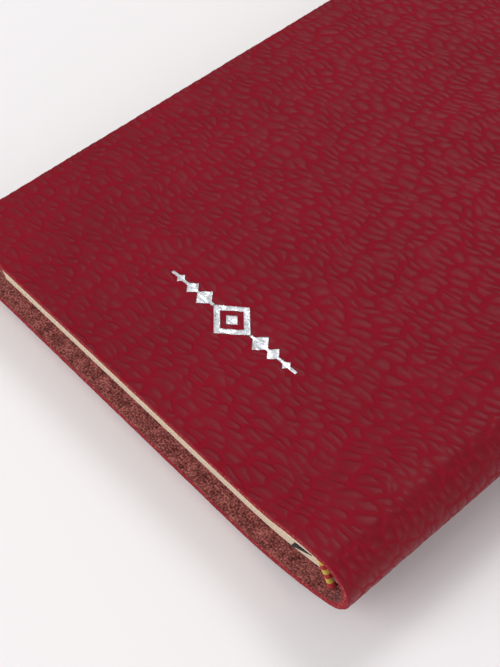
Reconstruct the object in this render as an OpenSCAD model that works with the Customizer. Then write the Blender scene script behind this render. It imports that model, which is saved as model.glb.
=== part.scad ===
// Pocket notebook bound in one wrap of soft pebbled leather.
// It lies on its front cover with the back cover up: fore edge towards -X,
// spine towards +X, tail of the pages towards -Y and head towards +Y.
// The origin is on the surface under the middle of the closed notebook.
// Near the spine the leather lifts off the surface in one long curve and
// comes back over the pages in a rounded fold, so the pages curve with it.

/* [Pages] */
// Width of a leaf, from fold to fore edge
page_w = 103.7; // [80:0.5:150]
// Height of a leaf, from tail to head
page_h = 148; // [100:1:220]
// Thickness of one sewn section of folded sheets
section_t = 1.2; // [0.8:0.05:2]
// Number of sewn sections, the last one included
section_count = 10; // [4:1:12]
// Thickness of the pastedowns and flyleaves
endpaper_t = 0.25; // [0.15:0.05:0.5]
// Air between leaves that move apart
leaf_gap = 0.08; // [0.05:0.01:0.2]
// How far the folds lean back from the front of the block to its back
spine_lean = 4.2; // [0:0.1:6]

/* [Leather] */
// Thickness of the leather
leather_t = 1.7; // [1:0.1:2.5]
// Leather standing past the pages at tail and head
end_overhang = 4; // [2:0.1:8]
// Leather standing past the leaf that reaches furthest out at the fore edge
fore_overhang = 1.9; // [1:0.1:8]
// Radius of the two free corners of each cover
corner_r = 4; // [1:0.5:12]
// Gap left at each bend, where a cover turns on the spine
hinge_gap = 0.3; // [0.2:0.05:0.6]

/* [Spine] */
// Hollow between the folds and the inside of the leather
spine_hollow = 4.8; // [4:0.1:12]
// Least distance from the folds to the front bend, which stays clear of the leaves
fold_setback = 1; // [0.6:0.1:2]
// Radius of the long curve by which the front cover leaves the surface
lift_r = 70; // [50:5:120]
// Angle of that curve where the front cover ends, in degrees
lift_angle = 21.5; // [12:0.5:28]
// Radius of the upper half of the rounded back, outside
back_r = 6.2; // [4:0.1:9]
// Height of the bulge over the flat of the back cover
bulge_h = 2.3; // [0.5:0.1:4]
// Length over which the back cover rises to the bulge
bulge_run = 19; // [12:1:30]

/* [Binding] */
// Thickness of the cloth that lines the folds
lining_t = 0.3; // [0.2:0.05:0.6]
// Length of the folds left bare of lining at tail and head
lining_inset = 12; // [8:1:25]
// Diameter of the bead of a headband
bead_d = 1.6; // [1:0.1:2.4]
// How far the bead stands out past the ends of the pages
bead_out = 2.1; // [0.8:0.1:3.5]
// Length of the headband cloth glued along the folds
band_cloth = 9; // [4:1:12]
// Number of sewing stations along the folds
station_count = 5; // [3:1:9]
// Distance of the outer stations from tail and head
station_inset = 20; // [14:1:30]
// Diameter of the sewing thread
thread_d = 0.5; // [0.3:0.1:0.8]
// Clearance round the thread in its notch, and round the ribbon in its place
sewing_clearance = 0.1; // [0.05:0.05:0.2]

/* [Ribbon] */
// Width of the ribbon marker
ribbon_w = 4.4; // [3:0.2:8]
// Thickness of the ribbon marker
ribbon_t = 0.25; // [0.15:0.05:0.4]
// Distance from the ribbon's spine side to the folds, along most of its way
ribbon_inset = 6.4; // [4:0.2:30]
// How far the ribbon's longer corner stands out past the tail of the pages
ribbon_out = 0.8; // [0.3:0.1:3]
// Length at the head over which the ribbon crosses to the folds
ribbon_turn = 30; // [15:1:60]

/* [Ornament] */
// Length of the silver foil ornament
ornament_w = 36; // [20:1:60]
// Height of its large middle lozenge
ornament_h = 9; // [5:0.5:20]
// Distance from the tail edge of the leather to the middle of the ornament
ornament_y = 23.5; // [12:0.5:70]
// Distance from the fore edge of the leather to the middle of the ornament
ornament_x = 60.5; // [25:0.5:90]
// Thickness of the foil
foil_t = 0.06; // [0.04:0.01:0.2]

/* [Hidden] */
$fn = 48;
// Steps along each curve of the leather
curve_steps = 10;
// How far a cut reaches past the face that it opens
cut_margin = 1;
// Height under which the straight part of the back is left out
wall_least = 0.001;
// Thickness of the flat stack of leaves, and of the closed notebook
stack_t = section_count * section_t + 4 * endpaper_t + 5 * leaf_gap;
closed_t = stack_t + 2 * leather_t;
height_y = page_h + 2 * end_overhang;
width_x = fore_overhang + page_w + spine_lean + spine_hollow + leather_t;
tail_y = -page_h / 2;
head_y = page_h / 2;
fore_x = -width_x / 2;
nose_x = width_x / 2;
// Folds of the leaf nearest the front cover, and of the one nearest the back
front_fold_x = nose_x - leather_t - spine_hollow;
back_fold_x = front_fold_x - spine_lean;

// Lower half of the rounded back: it takes up the height that is left, up to
// the radius that keeps the front bend clear of the folds. Above that radius
// the back goes straight up to its upper half.
nose_z = closed_t + bulge_h - back_r;
rest_h = nose_z - lift_r * (1 - cos(lift_angle));
nose_r = min(rest_h / cos(lift_angle),
             (spine_hollow + leather_t - fold_setback) / (1 - sin(lift_angle)));
wall_h = rest_h - nose_r * cos(lift_angle);
nose_centre_x = nose_x - nose_r;
lift_x = nose_centre_x + nose_r * sin(lift_angle) - lift_r * sin(lift_angle);
back_hinge_x = nose_x - back_r;
back_hinge_z = closed_t + bulge_h;

// The rise to the bulge is two equal arcs that bend opposite ways
bulge_angle = 2 * atan(bulge_h / bulge_run);
bulge_r = bulge_run / 2 / sin(bulge_angle);
rise_x = back_hinge_x - bulge_run;

// Heights of the leaves in the flat stack, counted from the front leather
front_flyleaf_s = endpaper_t + leaf_gap;
first_section_s = front_flyleaf_s + endpaper_t + leaf_gap;
last_section_s = first_section_s + (section_count - 1) * section_t + leaf_gap;
back_flyleaf_s = last_section_s + section_t + leaf_gap;
back_pastedown_s = back_flyleaf_s + endpaper_t + leaf_gap;
ribbon_s = first_section_s + section_t;

// The ornament: width of its middle lozenge over its height, how much the
// opening in it is smaller, and the heights of its heart, its largest small
// lozenge and its line
middle_ratio = 1.2;
frame_h = 3.2;
heart_h = 2.8;
small_h = 4.2;
line_h = 0.6;
// Place of the first small lozenge and the step to the next, as shares of the
// ornament's length, and how much smaller each is than the one before
first_at = 0.225;
step_out = 0.1;
shrink = 0.25;

// Points of an arc about (cx, cz), from angle a0 to angle a1
function arc_points(cx, cz, r, a0, a1, steps = curve_steps) =
    [for (i = [0:steps]) let(a = a0 + (a1 - a0) * i / steps) [cx + r * cos(a), cz + r * sin(a)]];

// All points but the first, for a curve that goes on where another ends
function without_first(points) = [for (i = [1:len(points) - 1]) points[i]];

// Points in the opposite order
function reversed(points) = [for (i = [len(points) - 1:-1:0]) points[i]];

// Height of the inside of the front cover's leather at x
function front_inside_z(x) =
    x <= lift_x ? leather_t
    : lift_r - sqrt(pow(lift_r - leather_t, 2) - pow(x - lift_x, 2));

// Height of the inside of the back cover's leather at x
function back_inside_z(x) =
    x <= rise_x ? closed_t - leather_t
    : x <= rise_x + (bulge_r + leather_t) * sin(bulge_angle)
    ? closed_t + bulge_r - sqrt(pow(bulge_r + leather_t, 2) - pow(x - rise_x, 2))
    : back_hinge_z - bulge_r + sqrt(pow(bulge_r - leather_t, 2) - pow(x - back_hinge_x, 2));

// Height at x of the surface that lies s up the flat stack of leaves
function leaf_z(x, s) =
    front_inside_z(x) + (back_inside_z(x) - front_inside_z(x)) * s / stack_t;

// Where the surface s up the stack meets the folds and the fore edge
function fold_x(s) = front_fold_x - spine_lean * s / stack_t;
function edge_x(s) = fold_x(s) - page_w;

// The surface s up the stack, from fore edge to folds
function leaf_curve(s) =
    let(x0 = edge_x(s), x1 = min(lift_x, rise_x), run = fold_x(s) - x1, steps = 2 * curve_steps)
    concat([[x0, leaf_z(x0, s)]],
           [for (i = [0:steps]) let(x = x1 + run * i / steps) [x, leaf_z(x, s)]]);

// Outline of a layer of leaves between two heights of the stack
function leaf_outline(s0, s1) = concat(leaf_curve(s0), reversed(leaf_curve(s1)));

// The same surface carried on past the folds to x_end
function past_folds(s, x_end, steps = 4) =
    [for (i = [1:steps]) let(x = fold_x(s) + (x_end - fold_x(s)) * i / steps) [x, leaf_z(x, s)]];

// The line of the folds, one point at each join of the sewn sections, moved out by offset_x
function fold_line(offset_x) =
    [for (i = [0:section_count - 1]) let(s = first_section_s + i * section_t)
        [fold_x(s) + offset_x, leaf_z(fold_x(s), s)]];

// A strip that stands on the line of the folds
function fold_strip(inner, outer) = concat(fold_line(inner), reversed(fold_line(outer)));

// The front cover's leather in section: flat, then the long curve
function front_cover_outline() =
    let(a = lift_angle - asin(hinge_gap / 2 / lift_r))
    concat([[fore_x, 0]],
           arc_points(lift_x, lift_r, lift_r, -90, a - 90),
           reversed(past_folds(0, lift_x + (lift_r - leather_t) * sin(a))),
           reversed(leaf_curve(0)),
           [[fore_x, leather_t]]);

// The two halves of the rounded back in section, inset by a thickness
function spine_curve(inset) =
    let(a0 = lift_angle + asin(hinge_gap / 2 / nose_r), a1 = 90 - asin(hinge_gap / 2 / back_r),
        upper = arc_points(back_hinge_x, nose_z, back_r - inset, 0, a1))
    concat(arc_points(nose_centre_x, nose_z - wall_h, nose_r - inset, a0 - 90, 0),
           wall_h > wall_least ? upper : without_first(upper));

// The inside of the rounded back in section, from the front bend up to the back bend
function spine_inside() = spine_curve(leather_t);

// The rounded back in section, between the two bends
function spine_outline() = concat(spine_curve(0), reversed(spine_inside()));

// The back cover's leather in section: flat, then up to the bulge
function back_cover_outline() =
    let(a = asin(hinge_gap / 2 / bulge_r),
        high_z = back_hinge_z - bulge_r)
    concat([[fore_x, closed_t - leather_t]],
           leaf_curve(stack_t),
           past_folds(stack_t, back_hinge_x - (bulge_r - leather_t) * sin(a)),
           reversed(without_first(arc_points(back_hinge_x, high_z, bulge_r, 90 + bulge_angle, 90 + a))),
           reversed(arc_points(rise_x, closed_t + bulge_r, bulge_r, -90, bulge_angle - 90)),
           [[fore_x, closed_t]]);

// An outline in X and Z, carried along Y from y0 to y1
module along_y(points, y0, y1) {
    translate([0, y1, 0])
        rotate([90, 0, 0])
            linear_extrude(y1 - y0)
                polygon(points);
}

// What is cut off a square corner at (x, y) to round it, for a side of 1 or -1
module corner_waste(x, y, side) {
    difference() {
        translate([x - cut_margin, side > 0 ? y - corner_r : y - cut_margin, -cut_margin])
            cube([corner_r + cut_margin, corner_r + cut_margin, closed_t + 2 * cut_margin]);
        translate([x + corner_r, y - side * corner_r, -2 * cut_margin])
            cylinder(r = corner_r, h = closed_t + 4 * cut_margin);
    }
}

// A cover's leather with its two free corners rounded
module cover(points) {
    difference() {
        along_y(points, -height_y / 2, height_y / 2);
        for (side = [-1, 1])
            corner_waste(fore_x, side * height_y / 2, side);
    }
}

module back_cover_leather() {
    color("#7a1f2b")
        cover(back_cover_outline());
}

module spine_leather() {
    color("#741c28")
        along_y(spine_outline(), -height_y / 2, height_y / 2);
}

module front_cover_leather() {
    color("#7a1f2b")
        cover(front_cover_outline());
}

// A layer of leaves between two heights of the stack
module leaves(s, thickness) {
    color("#e6d6c0")
        along_y(leaf_outline(s, s + thickness), tail_y, head_y);
}

// Y of each sewing station
function station_y(i) = tail_y + station_inset + i * (page_h - 2 * station_inset) / (station_count - 1);

// The notches sawn across the folds for the thread
module thread_notches() {
    for (i = [0:station_count - 1])
        along_y(fold_strip(-thread_d - 2 * sewing_clearance, cut_margin),
                station_y(i) - thread_d / 2 - sewing_clearance,
                station_y(i) + thread_d / 2 + sewing_clearance);
}

// The ribbon seen from above: along the folds, then over to them at the head
module ribbon_plan(clearance = 0) {
    x0 = fold_x(ribbon_s) - ribbon_inset - ribbon_w - clearance;
    x1 = fold_x(ribbon_s) - ribbon_inset + clearance;
    turn_y = head_y - ribbon_turn;
    end_y = head_y - bead_d / 2;
    linear_extrude(closed_t)
        polygon([
            [x0, tail_y - ribbon_out],
            [x1, tail_y - clearance],
            [x1, turn_y],
            [x1 + ribbon_inset, end_y],
            [x0 + ribbon_inset, end_y],
            [x0, turn_y]]);
}

// The layer that the ribbon lies in, carried past the tail of the pages
module ribbon_layer(thickness) {
    along_y(leaf_outline(ribbon_s, ribbon_s + thickness), tail_y - 2 * ribbon_out, head_y);
}

module ribbon_marker() {
    color("#1f1b1e")
        intersection() {
            ribbon_layer(ribbon_t);
            ribbon_plan();
        }
}

// Section i, counted from the front cover
module section(i) {
    color("#e6d6c0")
        difference() {
            leaves(first_section_s + (i - 1) * section_t, section_t);
            thread_notches();
            if (i == 2)
                intersection() {
                    ribbon_layer(ribbon_t + sewing_clearance);
                    ribbon_plan(sewing_clearance);
                }
        }
}

module last_section() {
    leaves(last_section_s, section_t);
}

module sewing_thread() {
    color("#efe9dc")
        for (i = [0:station_count - 1])
            along_y(fold_strip(-thread_d - sewing_clearance, -sewing_clearance),
                    station_y(i) - thread_d / 2, station_y(i) + thread_d / 2);
}

// The lining covers the folds and is glued to the inside of the rounded back,
// over one step of its curve at each bend
module spine_lining() {
    glued = spine_inside();
    last = len(glued) - 1;
    inner = fold_line(0);
    outer = fold_line(lining_t);
    top = section_count - 1;
    color("#d9d2c2")
        along_y(concat(
            inner,
            [glued[last], glued[last - 1], [outer[top][0], outer[top][1] - lining_t]],
            [for (i = [top - 1:-1:1]) outer[i]],
            [[outer[0][0], outer[0][1] + lining_t], glued[1], glued[0]]),
            tail_y + lining_inset, head_y - lining_inset);
}

// A headband at the tail: a bead on the ends of the pages and its cloth on the folds
module headband_at_tail() {
    foot = fold_line(0)[0];
    top = fold_line(0)[section_count - 1];
    length = norm(top - foot);
    lean = atan2(foot[0] - top[0], top[1] - foot[1]);
    along_y(fold_strip(0, lining_t), tail_y - bead_out + bead_d / 2, tail_y + band_cloth);
    intersection() {
        translate([foot[0] - bead_d / 2 + lining_t, tail_y - bead_out + bead_d / 2, foot[1]])
            rotate([0, -lean, 0])
                cylinder(d = bead_d, h = length);
        translate([-width_x, tail_y - bead_out, 0])
            cube([2 * width_x, bead_out, 2 * closed_t]);
    }
}

module tail_headband() {
    color("#a81a20")
        headband_at_tail();
}

module head_headband() {
    color("#a81a20")
        mirror([0, 1, 0])
            headband_at_tail();
}

// A lozenge of width w and height h
module lozenge(w, h) {
    polygon([[-w / 2, 0], [0, -h / 2], [w / 2, 0], [0, h / 2]]);
}

// Half of a row of three lozenges that shrink away from the middle
module small_lozenges(side) {
    for (k = [0:2])
        translate([side * ornament_w * (first_at + step_out * k), 0])
            lozenge(small_h * (1 - shrink * k), small_h * (1 - shrink * k));
}

// A large lozenge with an open middle, between shrinking ones on a fine line
module foil_ornament() {
    color("#c9ccd2")
        translate([fore_x + ornament_x, -height_y / 2 + ornament_y, closed_t])
            linear_extrude(foil_t) {
                difference() {
                    lozenge(ornament_h * middle_ratio, ornament_h);
                    lozenge((ornament_h - frame_h) * middle_ratio, ornament_h - frame_h);
                }
                lozenge(heart_h * middle_ratio, heart_h);
                for (side = [-1, 1]) {
                    small_lozenges(side);
                    translate([side * (ornament_w + ornament_h * middle_ratio) / 4, 0])
                        square([(ornament_w - ornament_h * middle_ratio) / 2, line_h], center = true);
                }
            }
}

back_cover_leather();
spine_leather();
front_cover_leather();
leaves(back_pastedown_s, endpaper_t);  // back_pastedown
leaves(0, endpaper_t);  // front_pastedown
leaves(back_flyleaf_s, endpaper_t);  // back_flyleaf
leaves(front_flyleaf_s, endpaper_t);  // front_flyleaf
for (i = [1:section_count - 1])
    section(i);
last_section();
sewing_thread();
spine_lining();
tail_headband();
head_headband();
ribbon_marker();
foil_ornament();
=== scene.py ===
"""Looks of a pocket notebook bound in one wrap of soft red pebbled leather.

The frame gives every place and size: +X from fore edge to spine, +Y from the
tail of the pages to the head, +Z up. Sizes in this file are in millimetres
where a name ends in _mm, and in metres everywhere else.
"""

import logging
import math
from dataclasses import dataclass
from enum import Enum
from typing import Any, Sequence, Union

import bmesh
import bpy
import numpy as np
from mathutils import Matrix, Vector


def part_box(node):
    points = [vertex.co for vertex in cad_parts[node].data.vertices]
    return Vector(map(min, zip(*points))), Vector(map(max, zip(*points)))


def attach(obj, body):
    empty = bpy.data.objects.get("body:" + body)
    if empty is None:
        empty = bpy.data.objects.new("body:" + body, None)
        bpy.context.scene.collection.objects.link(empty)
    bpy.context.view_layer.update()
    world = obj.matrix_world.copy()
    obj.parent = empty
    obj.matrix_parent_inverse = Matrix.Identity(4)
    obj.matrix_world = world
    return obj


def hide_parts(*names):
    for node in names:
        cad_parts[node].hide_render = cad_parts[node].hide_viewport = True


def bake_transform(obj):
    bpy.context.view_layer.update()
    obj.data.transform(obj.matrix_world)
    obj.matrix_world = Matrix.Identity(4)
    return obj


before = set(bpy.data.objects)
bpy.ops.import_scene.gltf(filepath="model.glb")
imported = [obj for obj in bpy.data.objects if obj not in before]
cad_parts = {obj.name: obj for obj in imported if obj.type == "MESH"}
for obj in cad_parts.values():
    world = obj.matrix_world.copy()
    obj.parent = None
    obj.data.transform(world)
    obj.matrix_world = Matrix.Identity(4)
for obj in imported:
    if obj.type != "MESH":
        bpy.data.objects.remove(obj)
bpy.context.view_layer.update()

MM = 0.001
LOG = logging.getLogger("notebook")


class Side(Enum):
    """The three faces of a cut piece of leather, as its material slots."""

    GRAIN = 0
    EDGE = 1
    FLESH = 2


class Cover(Enum):
    """The two covers, by the body that each one turns with."""

    BACK = "back_cover"
    FRONT = "front_cover"


# ---------------------------------------------------------------- node helpers

# What can feed a node's input: a socket, or a node whose first output is meant
Source = Union[bpy.types.NodeSocket, bpy.types.Node]
# How much each finer layer of a noise counts, against the layer before it
FINER_SHARE = 0.55
# What is taken off a noise's three channels to centre them on nothing
HALF = (0.5, 0.5, 0.5)


def linear(hex_colour: str) -> tuple[float, float, float, float]:
    """Turns an sRGB hex colour to the linear values that shaders use.

    Args:
        hex_colour: six hex digits, with or without a leading #.

    Returns:
        Red, green, blue and an alpha of 1.
    """
    digits = hex_colour.lstrip("#")
    values = [int(digits[i:i + 2], 16) / 255 for i in (0, 2, 4)]
    lin = [v / 12.92 if v <= 0.04045 else ((v + 0.055) / 1.055) ** 2.4 for v in values]
    return lin[0], lin[1], lin[2], 1.0


def connect(tree: bpy.types.NodeTree, node: bpy.types.Node, inputs: dict) -> None:
    """Feeds a node's inputs.

    Args:
        tree: the tree that holds the node.
        node: the node to feed.
        inputs: for each input's name or number, a plain value, a socket, or a
            node whose first output is meant.
    """
    for key, value in inputs.items():
        if isinstance(value, bpy.types.Node):
            value = value.outputs[0]
        if isinstance(value, bpy.types.NodeSocket):
            tree.links.new(value, node.inputs[key])
        else:
            node.inputs[key].default_value = value


def add(tree: bpy.types.NodeTree, kind: str, inputs: dict | None = None,
        stops: Sequence[tuple[float, str]] = (), **settings: Any) -> bpy.types.Node:
    """Adds one node, sets it up and links it.

    Args:
        tree: the shader or geometry tree that gets the node.
        kind: the node's type name.
        inputs: what feeds its inputs, by the input's name or number.
        stops: place and hex colour of each stop, for a colour ramp.
        settings: the node's own properties.

    Returns:
        The new node.
    """
    node = tree.nodes.new(kind)
    for name, value in settings.items():
        setattr(node, name, value)
    connect(tree, node, inputs or {})
    if stops:
        elements = node.color_ramp.elements
        while len(elements) < len(stops):
            elements.new(0.5)
        for element, (place, colour) in zip(elements, stops):
            element.position = place
            element.color = linear(colour)
    return node


def new_material(name: str) -> tuple[bpy.types.Material, bpy.types.NodeTree, bpy.types.Node]:
    """A material with nothing but its shader and output.

    Args:
        name: the material's name.

    Returns:
        The material, its tree and its Principled shader.
    """
    material = bpy.data.materials.new(name)
    material.use_nodes = True
    tree = material.node_tree
    tree.nodes.clear()
    shader = add(tree, "ShaderNodeBsdfPrincipled")
    add(tree, "ShaderNodeOutputMaterial", {"Surface": shader})
    return material, tree, shader


def object_mm(tree: bpy.types.NodeTree) -> bpy.types.Node:
    """Gives a tree the object's own coordinates, in millimetres.

    Args:
        tree: the tree that gets the nodes.

    Returns:
        The node of the coordinates.
    """
    place = add(tree, "ShaderNodeTexCoord").outputs["Object"]
    return add(tree, "ShaderNodeVectorMath", {0: place, 1: (1 / MM,) * 3}, operation="MULTIPLY")


# ------------------------------------------------------------------- finishes


@dataclass(frozen=True)
class PebbleGrain:
    """The grain of a tumbled hide: long low pebbles parted by narrow creases."""

    pitch_x_mm: float = 4.2
    pitch_y_mm: float = 1.8
    tilt: float = math.radians(-9)
    randomness: float = 0.8
    depth_mm: float = 0.24
    # The noises that bend the rows: width of their lumps, number of finer
    # layers, and how far they push along X, Y and Z
    bends_mm: tuple[tuple[float, int, tuple[float, float, float]], ...] = (
        (11, 1, (3.9, 5.2, 0)), (2.6, 2, (1.0, 0.5, 0)))
    # Width of a crease and of the dome on a pebble, for a pebble of 1
    crease: float = 0.24
    dome: float = 0.7
    # What creases, domes and fine wrinkles count for in the height
    crease_part: float = 0.5
    dome_part: float = 0.36
    wrinkle_part: float = 0.14
    wrinkle_mm: float = 0.8
    # Creases are fainter in patches of this width, down to this share
    patch_mm: float = 5
    faint: float = 0.35
    # The height that stretched grain flattens to, what is left of the grain at
    # the back of the book, and where along the hide it is whole again
    level: float = 0.8
    stretched: float = 0.7
    smooth_from_mm: float = 7
    smooth_to_mm: float = 27

    def height(self, tree: bpy.types.NodeTree, hide: Source) -> bpy.types.Node:
        """Adds the grain to a shader or geometry tree; the same nodes serve both.

        Args:
            tree: the tree that gets the nodes.
            hide: coordinates over the flat hide, in millimetres.

        Returns:
            The node of the height, 0 in the creases and 1 on the pebbles.
        """
        bent = hide
        for size_mm, detail, push in self.bends_mm:
            cloud = add(tree, "ShaderNodeTexNoise", {"Vector": hide, "Scale": 1 / size_mm,
                                                     "Detail": detail, "Roughness": FINER_SHARE})
            centred = add(tree, "ShaderNodeVectorMath", {0: cloud.outputs["Color"], 1: HALF},
                          operation="SUBTRACT")
            bent = add(tree, "ShaderNodeVectorMath", {0: centred, 1: push, 2: bent},
                       operation="MULTIPLY_ADD")
        turned = add(tree, "ShaderNodeVectorRotate", {"Vector": bent, "Angle": self.tilt},
                     rotation_type="Z_AXIS")
        cells = add(tree, "ShaderNodeVectorMath",
                    {0: turned, 1: (1 / self.pitch_x_mm, 1 / self.pitch_y_mm, 0)}, operation="MULTIPLY")
        to_edge = add(tree, "ShaderNodeTexVoronoi",
                      {"Vector": cells, "Scale": 1.0, "Randomness": self.randomness},
                      feature="DISTANCE_TO_EDGE", voronoi_dimensions="2D").outputs["Distance"]
        to_middle = add(tree, "ShaderNodeTexVoronoi",
                        {"Vector": cells, "Scale": 1.0, "Smoothness": 0.5, "Randomness": self.randomness},
                        feature="SMOOTH_F1", voronoi_dimensions="2D").outputs["Distance"]
        patches = add(tree, "ShaderNodeTexNoise", {"Vector": hide, "Scale": 1 / self.patch_mm,
                                                   "Detail": 1, "Roughness": FINER_SHARE})
        firmness = add(tree, "ShaderNodeMapRange", {0: patches, 1: 0.36, 2: 0.6, 3: self.faint, 4: 1.0},
                       interpolation_type="SMOOTHSTEP")
        valley = add(tree, "ShaderNodeMapRange", {0: to_edge, 1: 0.0, 2: self.crease, 3: 1.0, 4: 0.0},
                     interpolation_type="SMOOTHSTEP")
        valley = add(tree, "ShaderNodeMath", {0: valley, 1: firmness}, operation="MULTIPLY")
        dome = add(tree, "ShaderNodeMapRange", {0: to_middle, 1: 0.0, 2: self.dome, 3: 1.0, 4: 0.0},
                   interpolation_type="SMOOTHSTEP")
        wrinkle = add(tree, "ShaderNodeTexNoise", {"Vector": bent, "Scale": 1 / self.wrinkle_mm,
                                                   "Detail": 2, "Roughness": FINER_SHARE})
        full = self.crease_part
        for feature, part in ((valley, -self.crease_part), (dome, self.dome_part),
                              (wrinkle, self.wrinkle_part)):
            full = add(tree, "ShaderNodeMath", {0: feature, 1: part, 2: full}, operation="MULTIPLY_ADD")
        above = add(tree, "ShaderNodeMath", {0: full, 1: self.level}, operation="SUBTRACT")
        return add(tree, "ShaderNodeMath", {0: above, 1: self.firm_share(tree, hide), 2: self.level},
                   operation="MULTIPLY_ADD")

    def firm_share(self, tree: bpy.types.NodeTree, hide: Source) -> bpy.types.Node:
        """How much of the grain is left: it is stretched smoother round the back of the book.

        Args:
            tree: the tree that gets the nodes.
            hide: coordinates over the flat hide, in millimetres.

        Returns:
            The node of the share.
        """
        across = add(tree, "ShaderNodeSeparateXYZ", {0: hide})
        away = add(tree, "ShaderNodeMath", {0: across}, operation="ABSOLUTE")
        return add(tree, "ShaderNodeMapRange", {0: away, 1: self.smooth_from_mm, 2: self.smooth_to_mm,
                                                3: self.stretched, 4: 1.0},
                   interpolation_type="SMOOTHSTEP")


GRAIN = PebbleGrain()


@dataclass(frozen=True)
class DyedLeather:
    """Full-grain cowhide, drum-dyed and milled soft: matt pebble tops, saturated creases.

    The creases are painted redder and brighter than the pebble tops, and the tops darker and greyer:
    painted light, standing for light bounced about in the creases and for sheen on the tops.
    Handling polishes the hide a little round the back of the book.
    """

    # Stops of the colour ramp over the grain's height: painted light, the saturated crease for light bounced
    # in the creases and the greyer top for sheen on the pebbles
    crease: str = "#80001a"
    rim: str = "#7a0319"
    top: str = "#74091b"
    cloud_mm: float = 22
    pore_mm: float = 0.35
    pore_depth_mm: float = 0.02
    polished_mm: float = 9
    rough_mm: float = 24
    polished_roughness: float = 0.4
    roughness: float = 0.48
    crease_roughness: float = 0.3

    def build(self) -> bpy.types.Material:
        """Makes the material, on the hide's own coordinates.

        Returns:
            The material.
        """
        material, tree, shader = new_material("dyed_pebbled_cowhide")
        hide = add(tree, "ShaderNodeAttribute", attribute_name="hide").outputs["Vector"]
        height = GRAIN.height(tree, hide)
        # Painted light: the creases come out redder and brighter and the tops darker and greyer, in place of
        # bounced light and sheen
        colour = add(tree, "ShaderNodeValToRGB", {0: height},
                     stops=[(0.25, self.crease), (0.5, self.rim), (0.8, self.top)])
        cloud = add(tree, "ShaderNodeTexNoise", {"Vector": hide, "Scale": 1 / self.cloud_mm,
                                                 "Detail": 2, "Roughness": FINER_SHARE})
        tone = add(tree, "ShaderNodeMapRange", {0: cloud, 1: 0.3, 2: 0.7, 3: 0.93, 4: 1.07})
        grey = add(tree, "ShaderNodeCombineColor", {0: tone, 1: tone, 2: tone})
        tinted = add(tree, "ShaderNodeMix", {0: 1.0, 6: colour, 7: grey},
                     data_type="RGBA", blend_type="MULTIPLY").outputs[2]
        pores = add(tree, "ShaderNodeTexNoise", {"Vector": hide, "Scale": 1 / self.pore_mm,
                                                 "Detail": 3, "Roughness": FINER_SHARE})
        relief = add(tree, "ShaderNodeBump", {"Strength": 1.0, "Distance": GRAIN.depth_mm * MM,
                                              "Height": height})
        relief = add(tree, "ShaderNodeBump", {"Strength": 1.0, "Distance": self.pore_depth_mm * MM,
                                              "Height": pores, "Normal": relief})
        across = add(tree, "ShaderNodeSeparateXYZ", {0: hide})
        away = add(tree, "ShaderNodeMath", {0: across}, operation="ABSOLUTE")
        handled = add(tree, "ShaderNodeMapRange",
                      {0: away, 1: self.polished_mm, 2: self.rough_mm,
                       3: self.polished_roughness, 4: self.roughness}, interpolation_type="SMOOTHSTEP")
        dull = add(tree, "ShaderNodeMapRange", {0: height, 1: 0.35, 2: 0.7, 3: self.crease_roughness, 4: 0.0})
        rough = add(tree, "ShaderNodeMath", {0: handled, 1: dull}, operation="ADD")
        connect(tree, shader, {"Base Color": tinted, "Normal": relief, "Roughness": rough,
                               "Specular IOR Level": 0.15})
        return material


@dataclass(frozen=True)
class Suede:
    """The flesh side of the hide: short raised fibres, unevenly dyed.

    The split hide is buffed to a nap, which scatters light and hides the
    shine. The tufts are drawn coarser than real ones, which are too fine to show.
    """

    dark: str = "#451613"
    mid: str = "#834341"
    light: str = "#b9706a"
    tuft_mm: float = 0.42
    tuft_depth_mm: float = 0.22
    patch_mm: float = 2.2

    def build(self) -> bpy.types.Material:
        """Makes the material, on the hide's own coordinates.

        Returns:
            The material.
        """
        material, tree, shader = new_material("suede_flesh_side")
        hide = add(tree, "ShaderNodeAttribute", attribute_name="hide").outputs["Vector"]
        tufts, patches = (
            add(tree, "ShaderNodeTexNoise", {"Vector": hide, "Scale": 1 / size_mm,
                                             "Detail": detail, "Roughness": FINER_SHARE})
            for size_mm, detail in ((self.tuft_mm, 3), (self.patch_mm, 2)))
        both = add(tree, "ShaderNodeMath", {0: tufts, 1: 0.75}, operation="MULTIPLY")
        both = add(tree, "ShaderNodeMath", {0: patches, 1: 0.35, 2: both}, operation="MULTIPLY_ADD")
        colour = add(tree, "ShaderNodeValToRGB", {0: both},
                     stops=[(0.43, self.dark), (0.55, self.mid), (0.67, self.light)])
        relief = add(tree, "ShaderNodeBump", {"Strength": 1.0, "Distance": self.tuft_depth_mm * MM,
                                              "Height": tufts})
        connect(tree, shader, {"Base Color": colour, "Normal": relief, "Roughness": 0.95,
                               "Specular IOR Level": 0.15, "Sheen Weight": 0.08, "Sheen Roughness": 0.5})
        return material


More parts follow.
